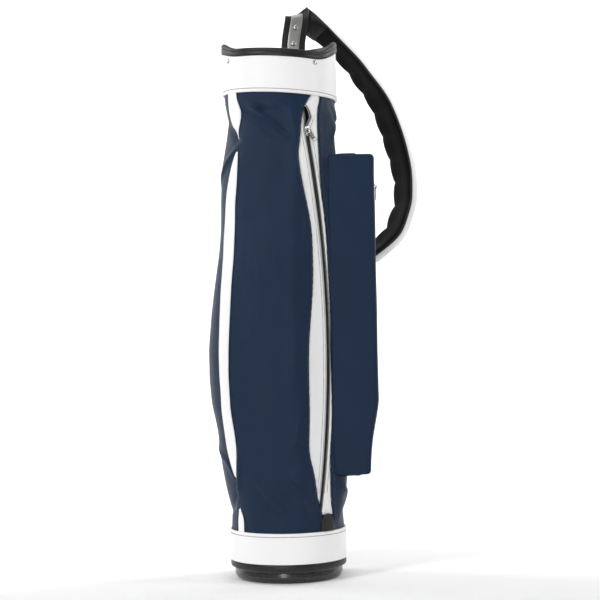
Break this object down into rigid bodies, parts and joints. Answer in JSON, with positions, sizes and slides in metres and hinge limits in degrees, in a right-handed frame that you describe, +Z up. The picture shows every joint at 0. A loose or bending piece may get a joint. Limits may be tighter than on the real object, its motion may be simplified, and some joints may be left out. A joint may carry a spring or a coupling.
{
  "type": "golf carry bag",
  "caption": "Slender upright golf carry bag with a full-length front zip, a side pocket, a stiff collar and base, and a padded shoulder strap looped at the back.",
  "frame": {"origin": "centre of the base on the surface that the bag stands on", "axes": "+Z up along the bag, -Y the front with the long zip, +X the side with the pocket and the strap's loop"},
  "size_m": [0.3582, 0.2915, 0.9459],
  "materials": {
    "navy_fabric": "plain-woven coated nylon, matt with a faint sheen",
    "white_vinyl": "smooth grained vinyl, satin",
    "black_vinyl": "grained vinyl binding, satin",
    "black_moulding": "polished injection moulding",
    "black_pad": "ribbed foam pad with a smooth skin",
    "black_webbing": "woven polypropylene webbing",
    "grey_lining": "brushed fleece lining",
    "stiffener_plastic": "matt sheet plastic",
    "zip_coil": "nylon coil",
    "nickel": "bright nickel plating",
    "dark_bronze": "dark olive lacquered metal",
    "grey_stay": "satin grey steel strip"
  },
  "bodies": {
    "bag": {"anchor_rivet_lower": "nickel", "anchor_rivet_upper": "nickel", "apparel_pocket_liner": "grey_lining", "back_panel": "navy_fabric", "base_band": "black_vinyl", "base_cuff": "white_vinyl", "base_cup": "black_moulding", "base_floor_pad": "grey_lining", "collar_cuff": "white_vinyl", "collar_hoop": "stiffener_plastic", "collar_rivet_left": "nickel", "collar_rivet_right": "nickel", "divider_arm_left": "grey_lining", "divider_arm_rear": "grey_lining", "divider_arm_right": "grey_lining", "divider_hub": "grey_lining", "dring_chape": "black_webbing", "dring_patch": "black_vinyl", "front_panel": "navy_fabric", "left_panel": "navy_fabric", "pocket_back": "navy_fabric", "pocket_bottom": "navy_fabric", "pocket_chain_left": "zip_coil", "pocket_chain_right": "zip_coil", "pocket_face_back": "navy_fabric", "pocket_face_front": "navy_fabric", "pocket_front": "navy_fabric", "pocket_tape_left": "black_webbing", "pocket_tape_right": "black_webbing", "pocket_top": "navy_fabric", "right_panel": "navy_fabric", "rim_trim": "black_vinyl", "spine_stay": "stiffener_plastic", "strap_anchor_tab": "black_vinyl", "white_stripe": "white_vinyl", "zip_chain_left": "zip_coil", "zip_chain_right": "zip_coil", "zip_end_patch": "black_vinyl", "zip_tape_left": "white_vinyl", "zip_tape_right": "white_vinyl"},
    "strap": {"strap_root": "black_vinyl", "strap_stay": "grey_stay", "strap_cover": "white_vinyl", "strap_pad": "black_pad", "strap_webbing": "black_webbing", "strap_dring": "nickel", "strap_rivet_lower": "nickel", "strap_rivet_upper": "nickel"},
    "main_slider": {"main_slider": "nickel"},
    "main_pull": {"main_pull": "dark_bronze"},
    "main_pull_ring": {"main_pull_ring": "nickel"},
    "pocket_slider": {"pocket_slider": "nickel"},
    "pocket_pull": {"pocket_pull": "dark_bronze"}
  },
  "joints": [
    {"name": "strap_swing", "type": "hinge", "parent": "bag", "child": "strap", "pos_m": [0.0245, 0.0953, 0.418], "axis": [0, 0, 1], "range_deg": [-12, 120]},
    {"name": "main_slide", "type": "hinge", "parent": "bag", "child": "main_slider", "pos_m": [-1.11879, -1.05627, 0.38], "axis": [0.6428, -0.766, 0], "range_deg": [-21.69, 0.87]},
    {"name": "main_pull_flip", "type": "hinge", "parent": "main_slider", "child": "main_pull", "pos_m": [0.04415, -0.08762, 0.71437], "axis": [-0.5833, -0.4895, -0.6482], "range_deg": [0, 150]},
    {"name": "main_ring_swing", "type": "hinge", "parent": "main_pull", "child": "main_pull_ring", "pos_m": [0.05208, -0.08097, 0.70222], "axis": [-0.5833, -0.4895, -0.6482], "range_deg": [0, 50]},
    {"name": "pocket_slide", "type": "slide", "parent": "bag", "child": "pocket_slider", "axis": [0, 0, 1], "range_m": [-0.316, 0]},
    {"name": "pocket_pull_flip", "type": "hinge", "parent": "pocket_slider", "child": "pocket_pull", "pos_m": [0.153, 0, 0.6294], "axis": [0, -1, 0], "range_deg": [0, 150]}
  ]
}
